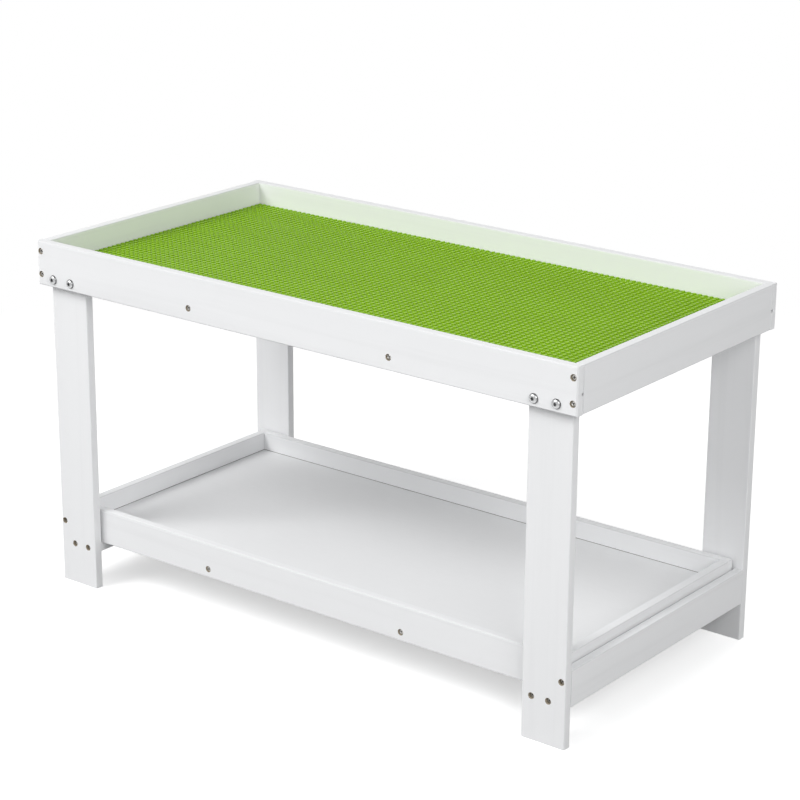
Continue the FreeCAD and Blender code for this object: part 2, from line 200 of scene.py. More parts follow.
class FastenerSettings(bpy.types.PropertyGroup):
    """Heads of the screws, bolts and insert nuts"""

    zinc: bpy.props.FloatVectorProperty(
        name="Zinc", description="Colour of the plated screws",
        subtype="COLOR", size=3, min=0.0, max=1.0, default=(0.580, 0.570, 0.550),
    )
    bright_zinc: bpy.props.FloatVectorProperty(
        name="Bright zinc", description="Colour of the plated bolts and insert nuts",
        subtype="COLOR", size=3, min=0.0, max=1.0, default=(0.540, 0.545, 0.550),
    )
    head_height: bpy.props.FloatProperty(
        name="Screw head", description="Height of a screw's head",
        subtype="DISTANCE", unit="LENGTH", min=0.0, default=2.2 * MM,
    )
    cross_width: bpy.props.FloatProperty(
        name="Cross recess", description="Width of the cross recess over its arms",
        subtype="DISTANCE", unit="LENGTH", min=0.0, default=4.3 * MM,
    )
    cross_arm: bpy.props.FloatProperty(
        name="Recess arm", description="Width of one arm of the cross recess",
        subtype="DISTANCE", unit="LENGTH", min=0.0, default=1.4 * MM,
    )
    cross_depth: bpy.props.FloatProperty(
        name="Recess depth", description="Depth of the cross recess",
        subtype="DISTANCE", unit="LENGTH", min=0.0, default=1.5 * MM,
    )
    bolt_head_height: bpy.props.FloatProperty(
        name="Bolt head", description="Height of a bolt's domed head",
        subtype="DISTANCE", unit="LENGTH", min=0.0, default=3.0 * MM,
    )
    socket_width: bpy.props.FloatProperty(
        name="Socket", description="Width of a bolt's hexagon socket over its flats",
        subtype="DISTANCE", unit="LENGTH", min=0.0, default=4.0 * MM,
    )
    socket_depth: bpy.props.FloatProperty(
        name="Socket depth", description="Depth of a bolt's hexagon socket",
        subtype="DISTANCE", unit="LENGTH", min=0.0, default=1.8 * MM,
    )
    seat_diameter: bpy.props.FloatProperty(
        name="Seat", description="Width of a sunk screw seat over the corners of its bore",
        subtype="DISTANCE", unit="LENGTH", min=0.0, default=8.2 * MM,
    )
    seat_lining: bpy.props.FloatProperty(
        name="Seat lining", description="Thickness of the bare wood round a sunk screw seat",
        subtype="DISTANCE", unit="LENGTH", min=0.0, default=0.25 * MM,
    )


class StageSettings(bpy.types.PropertyGroup):
    """Camera, lamps and floor"""

    eye: bpy.props.FloatVectorProperty(
        name="Camera place", description="Where the camera stands",
        subtype="TRANSLATION", unit="LENGTH", size=3, default=(1.77365, -2.26514, 1.25652),
    )
    aim: bpy.props.FloatVectorProperty(
        name="Camera turn", description="How the camera is turned",
        subtype="EULER", unit="ROTATION", size=3,
        default=(math.radians(71.289), math.radians(-0.340), math.radians(38.085)),
    )
    lens: bpy.props.FloatProperty(
        name="Lens", description="Focal length in millimetres on a 36 mm sensor", min=1.0, default=108.82,
    )
    key: bpy.props.FloatProperty(
        name="Front lamp", description="Power of the large lamp in front, to the left",
        subtype="POWER", unit="POWER", min=0.0, default=100.0,
    )
    side: bpy.props.FloatProperty(
        name="Side lamp", description="Power of the large lamp in front, to the right",
        subtype="POWER", unit="POWER", min=0.0, default=57.0,
    )
    back: bpy.props.FloatProperty(
        name="Back lamp", description="Power of the large lamp behind the table",
        subtype="POWER", unit="POWER", min=0.0, default=38.0,
    )
    room: bpy.props.FloatProperty(
        name="Room light", description="Even light from the whole room", min=0.0, default=0.37,
    )
    floor_glow: bpy.props.FloatProperty(
        name="Floor glow", description="How far the floor is lifted to white for the camera",
        min=0.0, default=0.45,
    )


# Helpers that add to a node tree
def set_inputs(tree, node, inputs):
    """Give a node's inputs plain values, or join them to the outputs of other nodes."""
    for name, value in inputs.items():
        if isinstance(value, bpy.types.NodeSocket):
            tree.links.new(value, node.inputs[name])
        else:
            node.inputs[name].default_value = value


def add_node(tree, kind, inputs=None, **options):
    """Node of one kind, with its options and its inputs set."""
    node = tree.nodes.new(kind)
    for name, value in options.items():
        setattr(node, name, value)
    set_inputs(tree, node, inputs or {})
    return node


def add_math(tree, operation, first, second=0.0):
    """Result of an operation on one or two values, each a number or an output."""
    return add_node(tree, "ShaderNodeMath", {0: first, 1: second}, operation=operation).outputs["Value"]


def add_parts(tree, vector):
    """Parts of a vector along the three axes."""
    return add_node(tree, "ShaderNodeSeparateXYZ", {"Vector": vector}).outputs


def add_range(tree, value, given, wanted):
    """The value moved from a given pair of limits to a wanted pair, and held between them."""
    limits = zip(("From Min", "From Max", "To Min", "To Max"), (*given, *wanted))
    return add_node(tree, "ShaderNodeMapRange", {"Value": value, **dict(limits)}).outputs["Result"]


def add_noise(tree, coords, stretch, detail=4.0, roughness=0.55):
    """Noise on a piece's own coordinates, with a stretch along each axis in repeats to the metre."""
    stretched = add_node(tree, "ShaderNodeMapping", {"Vector": coords["Object"], "Scale": stretch})
    noise = add_node(tree, "ShaderNodeTexNoise", {
        "Vector": stretched.outputs["Vector"], "Scale": 1.0, "Detail": detail, "Roughness": roughness,
    })
    return noise.outputs["Fac"]


def add_mix(tree, share, first, second):
    """Colour between two others, each a colour or an output."""
    inputs = {MIX_SHARE: share}
    for socket, colour in ((MIX_FIRST, first), (MIX_SECOND, second)):
        inputs[socket] = colour if isinstance(colour, bpy.types.NodeSocket) else (*colour, 1.0)
    return add_node(tree, "ShaderNodeMix", inputs, data_type="RGBA").outputs[MIX_RESULT]


def add_bump(tree, height, strength, depth, normal=None):
    """Bump from a height, over another normal if given."""
    inputs = {"Height": height, "Strength": strength, "Distance": depth}
    if normal is not None:
        inputs["Normal"] = normal
    return add_node(tree, "ShaderNodeBump", inputs).outputs["Normal"]


def add_blend(tree, share, first, second):
    """Shader between two others."""
    return add_node(tree, "ShaderNodeMixShader", {0: share, 1: first, 2: second}).outputs["Shader"]


def add_edge_share(tree, normal):
    """One where a surface turns from level to upright, as along the rounded edges."""
    slope = add_math(tree, "ABSOLUTE", add_parts(tree, normal)["Z"])
    off_upright = add_range(tree, slope, (0.05, 0.35), (0.0, 1.0))
    off_level = add_range(tree, slope, (0.80, 0.99), (1.0, 0.0))
    return add_math(tree, "MINIMUM", off_upright, off_level)


def add_groove_share(tree, coords, reach):
    """One past a panel's reach along X or Y, where it sits in its grooves."""
    place = add_parts(tree, coords["Object"])
    past = []
    for axis, half in zip("XY", reach):
        across = add_math(tree, "ABSOLUTE", place[axis])
        past.append(add_range(tree, across, (half, half + GROOVE_FADE), (0.0, 1.0)))
    return add_math(tree, "MAXIMUM", *past)


def add_seen_share(tree):
    """One where the camera, a reflection or clear material looks straight at the surface."""
    path = add_node(tree, "ShaderNodeLightPath").outputs
    seen = add_math(tree, "MAXIMUM", path["Is Camera Ray"], path["Is Glossy Ray"])
    return add_math(tree, "MAXIMUM", seen, path["Is Transmission Ray"])


# Finishes
def new_material(name):
    """New material, with its node tree, its main shader and a piece's own coordinates."""
    material = bpy.data.materials.new(name)
    material.use_nodes = True
    tree = material.node_tree
    return material, tree, tree.nodes["Principled BSDF"], add_node(tree, "ShaderNodeTexCoord").outputs


def tint(colour, share):
    """Colour made darker, or lighter up to white."""
    return [min(1.0, value * share) for value in colour]


def along_grain(run, along, across):
    """Stretch with one value along the grain and another across it."""
    return [along if axis == run else across for axis in "XYZ"]


def painted_wood(name, run, paint):
    """Satin paint over softwood, with its grain along one axis, darker along the level edges as painted shade
    that tones down their highlight, and as paint rubbed thin.
    """
    material, tree, shader, coords = new_material(name)
    streaks = along_grain(run, along=1.6, across=55.0)
    bands = [value / 6 for value in streaks]
    broad = add_noise(tree, coords, bands, detail=3.0)
    lines = add_noise(tree, coords, streaks, detail=5.0, roughness=0.62)
    fibres = add_noise(tree, coords, along_grain(run, along=9.0, across=420.0), detail=3.0)
    peel = add_noise(tree, coords, (900.0, 900.0, 900.0), detail=2.0)
    soft = add_node(tree, "ShaderNodeBevel", {"Radius": paint.edge}, samples=4).outputs["Normal"]
    toned = add_mix(tree, add_range(tree, lines, (0.50, 0.72), (0.0, 0.55)), paint.paint, paint.grain)
    toned = add_mix(tree, add_range(tree, broad, (0.40, 0.70), (0.0, 0.30)), toned, paint.grain)
    normal = add_bump(tree, lines, strength=0.20, depth=0.25 * MM, normal=soft)
    normal = add_bump(tree, fibres, strength=0.14, depth=0.08 * MM, normal=normal)
    set_inputs(tree, shader, {
        # Painted shade on the rounded edges, toning down their highlight, mixed with paint rubbed thin.
        "Base Color": add_mix(tree, add_edge_share(tree, soft), toned, paint.worn_and_shaded),
        "Roughness": add_range(tree, lines, (0.30, 0.70), (0.36, 0.50)),
        "Normal": add_bump(tree, peel, strength=0.10, depth=0.04 * MM, normal=normal),
        "Specular IOR Level": 0.42,
    })
    return material


def painted_panel(name, paint, reach):
    """Smooth rolled paint on thin board; past its reach each way, where it sits in grooves, it is bare board
    darkened as painted shade in the joint.
    """
    material, tree, shader, coords = new_material(name)
    broad = add_noise(tree, coords, (4.0, 7.0, 7.0))
    rolled = add_noise(tree, coords, (40.0, 160.0, 160.0))
    peel = add_noise(tree, coords, (700.0, 700.0, 700.0), detail=3.0)
    toned = add_mix(tree, add_range(tree, broad, (0.35, 0.70), (0.0, 0.35)), paint.panel, paint.grain)
    toned = add_mix(tree, add_range(tree, rolled, (0.48, 0.75), (0.0, 0.25)), toned, paint.grain)
    normal = add_bump(tree, rolled, strength=0.10, depth=0.10 * MM)
    set_inputs(tree, shader, {
        # Painted shade: the strip in the grooves is dark, both bare board and the shade in the joint.
        "Base Color": add_mix(tree, add_groove_share(tree, coords, reach), toned, paint.groove),
        "Roughness": add_range(tree, rolled, (0.30, 0.70), (0.42, 0.54)),
        "Normal": add_bump(tree, peel, strength=0.15, depth=0.05 * MM, normal=normal),
        "Specular IOR Level": 0.40,
    })
    return material


def moulded_plastic(name, colour):
    """Glossy moulded plastic with a faint flow and fine scuffs, and painted shade on upright walls."""
    material, tree, shader, coords = new_material(name)
    flow = add_noise(tree, coords, (9.0, 14.0, 14.0), detail=3.0)
    scuffs = add_noise(tree, coords, (300.0, 520.0, 520.0))
    deep, shaded = tint(colour, 0.86), tint(colour, 0.72)
    toned = add_mix(tree, add_range(tree, flow, (0.35, 0.68), (0.0, 0.6)), colour, deep)
    # Painted shade: upright stud walls are darker than the level tops.
    upright = add_range(tree, add_parts(tree, coords["Normal"])["Z"], (0.2, 0.9), (1.0, 0.0))
    set_inputs(tree, shader, {
        "Base Color": add_mix(tree, upright, toned, shaded),
        "Roughness": add_range(tree, scuffs, (0.30, 0.72), (0.30, 0.44)),
        "Normal": add_bump(tree, scuffs, strength=0.06, depth=0.04 * MM),
        "Specular IOR Level": 0.20,
    })
    return material


def plated_steel(name, colour, roughness):
    """Zinc-plated steel with fine turning marks and a spangled tone, with painted shade and painted dark
    reflection off the flat of a head.
    """
    material, tree, shader, coords = new_material(name)
    flat = add_node(tree, "ShaderNodeAttribute", attribute_name="flat").outputs["Fac"]
    spangle = add_noise(tree, coords, (700.0, 700.0, 700.0), detail=3.0)
    marks = add_noise(tree, coords, (2600.0, 900.0, 2600.0), detail=3.0)
    dull, deep = tint(colour, 0.72), tint(colour, 0.26)
    plated = add_mix(tree, add_range(tree, spangle, (0.35, 0.70), (0.0, 0.8)), colour, dull)
    set_inputs(tree, shader, {
        # Painted shade and painted dark reflection on the slopes and in the recess, off the flat of a head.
        "Base Color": add_mix(tree, flat, deep, plated),
        "Roughness": add_range(tree, marks, (0.30, 0.70), roughness),
        "Normal": add_bump(tree, marks, strength=0.12, depth=0.03 * MM),
        "Metallic": 1.0,
    })
    return material


def bare_wood(name, colour):
    """Drilled bare wood, with dark and pale fibres."""
    material, tree, shader, coords = new_material(name)
    fibres = add_noise(tree, coords, (900.0, 500.0, 1600.0), roughness=0.65)
    dark, pale = tint(colour, 0.55), tint(colour, 1.5)
    set_inputs(tree, shader, {
        "Base Color": add_mix(tree, add_range(tree, fibres, (0.32, 0.68), (0.0, 1.0)), dark, pale),
        "Roughness": add_range(tree, fibres, (0.30, 0.70), (0.70, 0.90)),
        "Normal": add_bump(tree, fibres, strength=0.50, depth=0.12 * MM),
    })
    return material


def finish_nodes(names, material):
    """Give CAD nodes a finish through their own material slots."""
    for name in names:
        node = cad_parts[name]
        if not node.material_slots:
            node.data.materials.append(material)
        for slot in node.material_slots:
            slot.material = material


# Places of the fasteners in the packed model
def solids_of(node):
    """Lowest and highest corner of each separate solid in a CAD node, in the order of their places."""
    shape = bmesh.new()
    shape.from_mesh(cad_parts[node].data)
    bmesh.ops.remove_doubles(shape, verts=shape.verts, dist=JOIN_DISTANCE)
    waiting = set(shape.verts)
    boxes = []
    while waiting:
        found = [waiting.pop()]
        for corner in found:
            near = {edge.other_vert(corner) for edge in corner.link_edges} & waiting
            waiting -= near
            found.extend(near)
        spans = list(zip(*(corner.co for corner in found)))
        boxes.append([Vector([pick(span) for span in spans]) for pick in (min, max)])
    shape.free()
    return sorted(boxes, key=lambda box: [round(value, PLACE_DIGITS) for value in box[0]])


def size_of(node):
    """Radius and length of the fasteners in a CAD node, which all lie along Y."""
    low, high = solids_of(node)[0]
    return (high.x - low.x) / 2, high.y - low.y


def spots_of(nodes, inward=False):
    """Middle of the outer end of each fastener, and which way it faces: 1 to the front, -1 to the back."""
    spots = []
    for node in nodes:
        for low, high in solids_of(node):
            middle = (low + high) / 2
            facing = -1 if (middle.y < 0) == inward else 1
            spots.append((Vector((middle.x, low.y if facing > 0 else high.y, middle.z)), facing))
    return spots


# Meshes of the fasteners
def lathe(shape, profile, sides, closed=False):
    """Turn a profile of radius and height about Z, and give back its rings of corners."""
    turns = [math.tau * step / sides for step in range(sides)]
    rings = [
        [shape.verts.new((radius * math.cos(turn), radius * math.sin(turn), height)) for turn in turns]
        for radius, height in profile
    ]
    pairs = list(zip(rings, rings[1:]))
    if closed:
        pairs.append((rings[-1], rings[0]))
    for lower, upper in pairs:
        for step in range(sides):
            after = (step + 1) % sides
            shape.faces.new((lower[step], lower[after], upper[after], upper[step]))
    return rings


def sink_recess(shape, ring, outline, depth, floor_share):
    """Close a ring of corners at height zero with a flat that has a tapered recess of a given outline."""
    mouth = [shape.verts.new((x, y, 0.0)) for x, y in outline]
    floor = [shape.verts.new((x * floor_share, y * floor_share, -depth)) for x, y in outline]
    loop = [shape.edges.new((start, end)) for start, end in zip(mouth, mouth[1:] + mouth[:1])]
    rim = [shape.edges.get((start, end)) for start, end in zip(ring, ring[1:] + ring[:1])]
    bmesh.ops.triangle_fill(shape, edges=loop + rim, use_beauty=True)
    count = len(outline)
    for step in range(count):
        after = (step + 1) % count
        shape.faces.new((mouth[step], mouth[after], floor[after], floor[step]))
    shape.faces.new(floor)


def mesh_of(shape, name):
    """Mesh with outward faces, and smooth shading up to an angle."""
    bmesh.ops.recalc_face_normals(shape, faces=shape.faces)
    mesh = bpy.data.meshes.new(name)
    shape.to_mesh(mesh)
    shape.free()
    mesh.shade_smooth()
    mesh.set_sharp_from_angle(angle=SMOOTH_ANGLE)
    return mesh


def mark_flat(mesh, depth):
    """Mark the corners of a fastener down to a depth, as the flat of its head; below it the finish paints
    shade.
    """
    values = [float(corner.co.z > -depth) for corner in mesh.vertices]
    mesh.attributes.new("flat", "FLOAT", "POINT").data.foreach_set("value", values)
    return mesh


def headed_profile(radius, head, length, tip_shares, head_shares):
    """Outline of a fastener from its tip up to the face of its head, which is at height zero."""
    shank = SHANK_SHARE * radius
    tip = [(wide * shank, -head - deep * length) for wide, deep in tip_shares]
    return [*tip, (shank, -head), *((wide * radius, -deep * head) for wide, deep in head_shares)]


def screw_mesh(sizes, radius, length):
    """Wood screw with a rounded head and a cross recess, its head's face at height zero."""
    shape = bmesh.new()
    profile = headed_profile(radius, sizes.head_height, length, SCREW_TIP_SHARES, SCREW_HEAD_SHARES)
    rings = lathe(shape, profile, SCREW_SIDES)
    shape.faces.new(reversed(rings[0]))
    arm, reach = sizes.cross_arm / 2, sizes.cross_width / 2
    quarter = [(reach, -arm), (reach, arm), (arm, arm)]
    outline = []
    for cosine, sine in ((1, 0), (0, 1), (-1, 0), (0, -1)):
        outline += [(x * cosine - y * sine, x * sine + y * cosine) for x, y in quarter]
    sink_recess(shape, rings[-1], outline, sizes.cross_depth, CROSS_FLOOR_SHARE)
    return mark_flat(mesh_of(shape, "wood_screw"), SCREW_FLAT_SHARE * sizes.head_height)


def bolt_mesh(sizes, radius, length):
    """Bolt with a domed head and a hexagon socket, its head's face at height zero."""
    shape = bmesh.new()
    profile = headed_profile(radius, sizes.bolt_head_height, length, BOLT_TIP_SHARES, BOLT_HEAD_SHARES)
    rings = lathe(shape, profile, BOLT_SIDES)
    shape.faces.new(reversed(rings[0]))
    corner = sizes.socket_width / math.sqrt(3)
    turns = [step * math.pi / 3 for step in range(6)]
    outline = [(corner * math.cos(turn), corner * math.sin(turn)) for turn in turns]
    sink_recess(shape, rings[-1], outline, sizes.socket_depth, SOCKET_FLOOR_SHARE)
    return mark_flat(mesh_of(shape, "leg_bolt"), BOLT_FLAT_SHARE * sizes.bolt_head_height)


def insert_mesh(radius, depth):
    """Insert nut with a flange, its flange's face at height zero."""
    shape = bmesh.new()
    sleeve, bore = SLEEVE_SHARE * radius, BORE_SHARE * radius
    profile = [
        (bore, -depth), (sleeve - NUT_EASE, -depth), (sleeve, NUT_EASE - depth), (sleeve, -NUT_FLANGE),
        (radius, -NUT_FLANGE), (radius, -NUT_EASE), (radius - NUT_EASE, 0.0),
        (bore + 2 * NUT_EASE, 0.0), (bore, -2 * NUT_EASE),
    ]
    lathe(shape, profile, BOLT_SIDES, closed=True)
    return mark_flat(mesh_of(shape, "insert_nut"), NUT_FLANGE)


def seat_mesh(sizes, depth):
    """Bare lining of a sunk screw seat, its rim at height zero."""
    shape = bmesh.new()
    radius = sizes.seat_diameter / 2
    wall, floor, hole = radius - sizes.seat_lining, SEAT_FLOOR - depth, SEAT_HOLE_SHARE * radius
    profile = [
        (radius + SEAT_RIM, 0.0), (radius, SEAT_RIM), (wall + SEAT_RIM, SEAT_RIM), (wall, -2 * SEAT_RIM),
        (wall, floor), (hole, floor), (hole, -depth), (radius, -depth),
    ]
    lathe(shape, profile, SCREW_SIDES, closed=True)
    return mesh_of(shape, "screw_seat")


# Geometry Nodes trees for what repeats
def geometry_tree(name, sockets):
    """Empty Geometry Nodes tree with named inputs, and its input and output nodes."""
    tree = bpy.data.node_groups.new(name, "GeometryNodeTree")
    tree.interface.new_socket("Geometry", in_out="INPUT", socket_type="NodeSocketGeometry")
    for label, kind in sockets:
        tree.interface.new_socket(label, in_out="INPUT", socket_type="NodeSocket" + kind)
    tree.interface.new_socket("Geometry", in_out="OUTPUT", socket_type="NodeSocketGeometry")
    return tree, tree.nodes.new("NodeGroupInput"), tree.nodes.new("NodeGroupOutput")


def close_tree(tree, given, result, instances):
    """End a tree with plain geometry in one material."""
    real = add_node(tree, "GeometryNodeRealizeInstances", {"Geometry": instances})
    painted = add_node(tree, "GeometryNodeSetMaterial", {
        "Geometry": real.outputs["Geometry"], "Material": given.outputs["Material"],
    })
    set_inputs(tree, result, {"Geometry": painted.outputs["Geometry"]})
    return tree


def add_raised(tree, geometry, height):
    """Geometry moved up by a height."""
    rise = add_node(tree, "ShaderNodeCombineXYZ", {"Z": height}).outputs["Vector"]
    moved = add_node(tree, "GeometryNodeTransform", {"Geometry": geometry, "Translation": rise})
    return moved.outputs["Geometry"]


def stud_tree():
    """Rows and columns of studs over a plate, each stud a wall with a rimmed cap."""
    tree, given, result = geometry_tree("Stud field", (
        ("Columns", "Int"), ("Rows", "Int"), ("Pitch", "Float"), ("Diameter", "Float"), ("Height", "Float"),
        ("Rim", "Float"), ("Sides", "Int"), ("Middle", "Vector"), ("Material", "Material"),
    ))
    sizes = given.outputs
    radius = add_math(tree, "MULTIPLY", sizes["Diameter"], 0.5)
    wall_height = add_math(tree, "SUBTRACT", sizes["Height"], sizes["Rim"])
    wall_middle = add_math(tree, "MULTIPLY", wall_height, 0.5)
    wall = add_node(tree, "GeometryNodeMeshCylinder", {
        "Vertices": sizes["Sides"], "Radius": radius, "Depth": wall_height,
    }, fill_type="NONE")
    cap = add_node(tree, "GeometryNodeMeshCone", {
        "Vertices": sizes["Sides"], "Radius Top": add_math(tree, "SUBTRACT", radius, sizes["Rim"]),
        "Radius Bottom": radius, "Depth": sizes["Rim"],
    }, fill_type="NGON")
    stud = add_node(tree, "GeometryNodeJoinGeometry")
    for part, height in ((cap, wall_height), (wall, wall_middle)):
        set_inputs(tree, stud, {"Geometry": add_raised(tree, part.outputs["Mesh"], height)})
    grid = add_node(tree, "GeometryNodeMeshGrid")
    for axis, count in (("X", sizes["Columns"]), ("Y", sizes["Rows"])):
        gaps = add_math(tree, "SUBTRACT", count, 1.0)
        span = add_math(tree, "MULTIPLY", gaps, sizes["Pitch"])
        set_inputs(tree, grid, {"Size " + axis: span, "Vertices " + axis: count})
    spread = add_node(tree, "GeometryNodeTransform", {
        "Geometry": grid.outputs["Mesh"], "Translation": sizes["Middle"],
    })
    field = add_node(tree, "GeometryNodeInstanceOnPoints", {
        "Points": spread.outputs["Geometry"], "Instance": stud.outputs["Geometry"],
    })
    return close_tree(tree, given, result, field.outputs["Instances"])


def fastener_tree():
    """One fastener on each spot, turned to face out and spun at random."""
    tree, given, result = geometry_tree("Fasteners on spots", (
        ("Fastener", "Object"), ("Spin", "Float"), ("Seed", "Int"), ("Material", "Material"),
    ))
    values = given.outputs
    source = add_node(tree, "GeometryNodeObjectInfo", {"Object": values["Fastener"], "As Instance": True})
    facing = add_node(tree, "GeometryNodeInputNamedAttribute", {"Name": "facing"}, data_type="FLOAT")
    tilt = add_math(tree, "MULTIPLY", facing.outputs["Attribute"], math.pi / 2)
    angles = add_node(tree, "ShaderNodeCombineXYZ", {"X": tilt})
    turn = add_node(tree, "FunctionNodeEulerToRotation", {"Euler": angles.outputs["Vector"]})
    placed = add_node(tree, "GeometryNodeInstanceOnPoints", {
        "Points": values["Geometry"], "Instance": source.outputs["Geometry"],
        "Rotation": turn.outputs["Rotation"],
    })
    chance = add_node(tree, "FunctionNodeRandomValue", {
        RANDOM_MOST: values["Spin"], "Seed": values["Seed"],
    }, data_type="FLOAT")
    spin = add_node(tree, "ShaderNodeCombineXYZ", {"Z": chance.outputs[RANDOM_RESULT]})
    spun = add_node(tree, "GeometryNodeRotateInstances", {
        "Instances": placed.outputs["Instances"], "Rotation": spin.outputs["Vector"],
    })
    return close_tree(tree, given, result, spun.outputs["Instances"])


# Pieces that are added to the packed model
def new_piece(name, mesh):
    """Object at the origin that shows a mesh."""
    piece = bpy.data.objects.new(name, mesh)
    bpy.context.scene.collection.objects.link(piece)
    return piece


def grow(piece, tree, values):
    """Run a tree on a piece, and keep the result as a plain mesh."""
    modifier = piece.modifiers.new(tree.name, "NODES")
    modifier.node_group = tree
    for item in tree.interface.items_tree:
        if item.in_out == "INPUT" and item.name in values:
            modifier[item.identifier] = values[item.name]
    graph = bpy.context.evaluated_depsgraph_get()
    mesh = bpy.data.meshes.new_from_object(piece.evaluated_get(graph), depsgraph=graph)
    piece.modifiers.clear()
    start = piece.data
    piece.data = mesh
    bpy.data.meshes.remove(start)
    mesh.name = piece.name
    if not mesh.polygons:
        raise RuntimeError(piece.name + " came out empty")


def set_fasteners(name, spots, mesh, tree, material, body):
    """A piece with one copy of a fastener's mesh on each spot."""
    places, facings = zip(*spots)
    points = bpy.data.meshes.new(name)
    points.from_pydata(places, [], [])
    points.attributes.new("facing", "FLOAT", "POINT").data.foreach_set("value", facings)
    piece = new_piece(name, points)
    pattern = new_piece(name + "_pattern", mesh)
    grow(piece, tree, {"Fastener": pattern, "Spin": math.tau, "Seed": SEEDS[name], "Material": material})
    bpy.data.objects.remove(pattern)
    bpy.data.meshes.remove(mesh)
    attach(piece, body)
    return piece


# Operators, one for each piece or group of like pieces
class PLAYTABLE_OT_paint_woodwork(bpy.types.Operator):
    """Paint the boards, legs, rails and battens, with the grain along each, and the two panels"""

    bl_idname = "play_table.paint_woodwork"
    bl_label = "Paint the woodwork"

    def execute(self, context):
        paint = context.scene.play_table_paint
        for run, names in (("X", LONG_BOARDS), ("Y", CROSS_BOARDS), ("Z", LEGS)):
            finish_nodes(names, painted_wood("painted_board_" + run.lower(), run, paint))
        for panel, end, side in PANELS:
            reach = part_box(end)[0].x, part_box(side)[0].y
            finish_nodes([panel], painted_panel("painted_" + panel, paint, reach))
        return {"FINISHED"}


class PLAYTABLE_OT_set_studs(bpy.types.Operator):
    """Finish the building plates, and cover them with studs"""

    bl_idname = "play_table.set_studs"
    bl_label = "Set the studs"

    def execute(self, context):
        studs = context.scene.play_table_studs
        plastic = moulded_plastic("plate_plastic", studs.plastic)
        finish_nodes(PLATES, plastic)
        tree = stud_tree()
        for plate in PLATES:
            low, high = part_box(plate)
            piece = new_piece(plate.replace("building_plate", "plate_studs"), bpy.data.meshes.new("studs"))
            grow(piece, tree, {
                "Columns": round((high.x - low.x) / studs.pitch),
                "Rows": round((high.y - low.y) / studs.pitch),
                "Pitch": studs.pitch, "Diameter": studs.diameter, "Height": studs.height, "Rim": studs.rim,
                "Sides": studs.sides, "Middle": ((low.x + high.x) / 2, (low.y + high.y) / 2, high.z),
                "Material": plastic,
            })
            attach(piece, "frame")
        return {"FINISHED"}


class PLAYTABLE_OT_drive_screws(bpy.types.Operator):
    """Put a cross-recessed wood screw in place of each plain one"""

    bl_idname = "play_table.drive_screws"
    bl_label = "Drive the screws"

    def execute(self, context):
        sizes = context.scene.play_table_fasteners
        zinc = plated_steel("screw_steel", sizes.zinc, roughness=(0.30, 0.50))
        tree = fastener_tree()
        for name, nodes, body in (
            ("frame_screws", BOARD_SCREWS + LEG_SCREWS, "frame"),
            ("tray_screws", TRAY_SCREWS, "storage_tray"),
        ):
            radius, length = size_of(nodes[0])
            mesh = screw_mesh(sizes, radius, length - sizes.head_height)
            piece = set_fasteners(name, spots_of(nodes), mesh, tree, zinc, body)
            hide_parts(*nodes)
        return {"FINISHED"}


class PLAYTABLE_OT_line_screw_seats(bpy.types.Operator):
    """Line the sunk screw seats with bare drilled wood"""

    bl_idname = "play_table.line_screw_seats"
    bl_label = "Line the screw seats"

    def execute(self, context):
        sizes = context.scene.play_table_fasteners
        wood = bare_wood("bare_wood", context.scene.play_table_paint.raw_wood)
        tree = fastener_tree()
        for name, nodes, cover, body in (
            ("board_screw_seats", BOARD_SCREWS, "front_board", "frame"),
            ("leg_screw_seats", LEG_SCREWS, "front_left_leg", "frame"),
            ("tray_screw_seats", TRAY_SCREWS, "tray_front_board", "storage_tray"),
        ):
            heads = spots_of(nodes)
            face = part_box(cover)[0].y
            sunk = min(place.y for place, facing in heads) - face
            spots = [(Vector((place.x, facing * face, place.z)), facing) for place, facing in heads]
            set_fasteners(name, spots, seat_mesh(sizes, sunk + sizes.head_height), tree, wood, body)
        return {"FINISHED"}


class PLAYTABLE_OT_fit_bolts(bpy.types.Operator):
    """Put a domed bolt and a flanged insert nut in place of each plain one"""

    bl_idname = "play_table.fit_bolts"
    bl_label = "Fit the bolts"

    def execute(self, context):
        sizes = context.scene.play_table_fasteners
        zinc = plated_steel("bolt_steel", sizes.bright_zinc, roughness=(0.18, 0.34))
        tree = fastener_tree()
        radius, length = size_of("leg_bolts")
        bolt = bolt_mesh(sizes, radius, length - sizes.bolt_head_height)
        bolts = set_fasteners("bolts", spots_of(["leg_bolts"]), bolt, tree, zinc, "frame")
        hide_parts("leg_bolts")
        nut = insert_mesh(*size_of("leg_insert_nuts"))
        spots = spots_of(["leg_insert_nuts"], inward=True)
        nuts = set_fasteners("insert_nuts", spots, nut, tree, zinc, "frame")
        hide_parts("leg_insert_nuts")
        return {"FINISHED"}


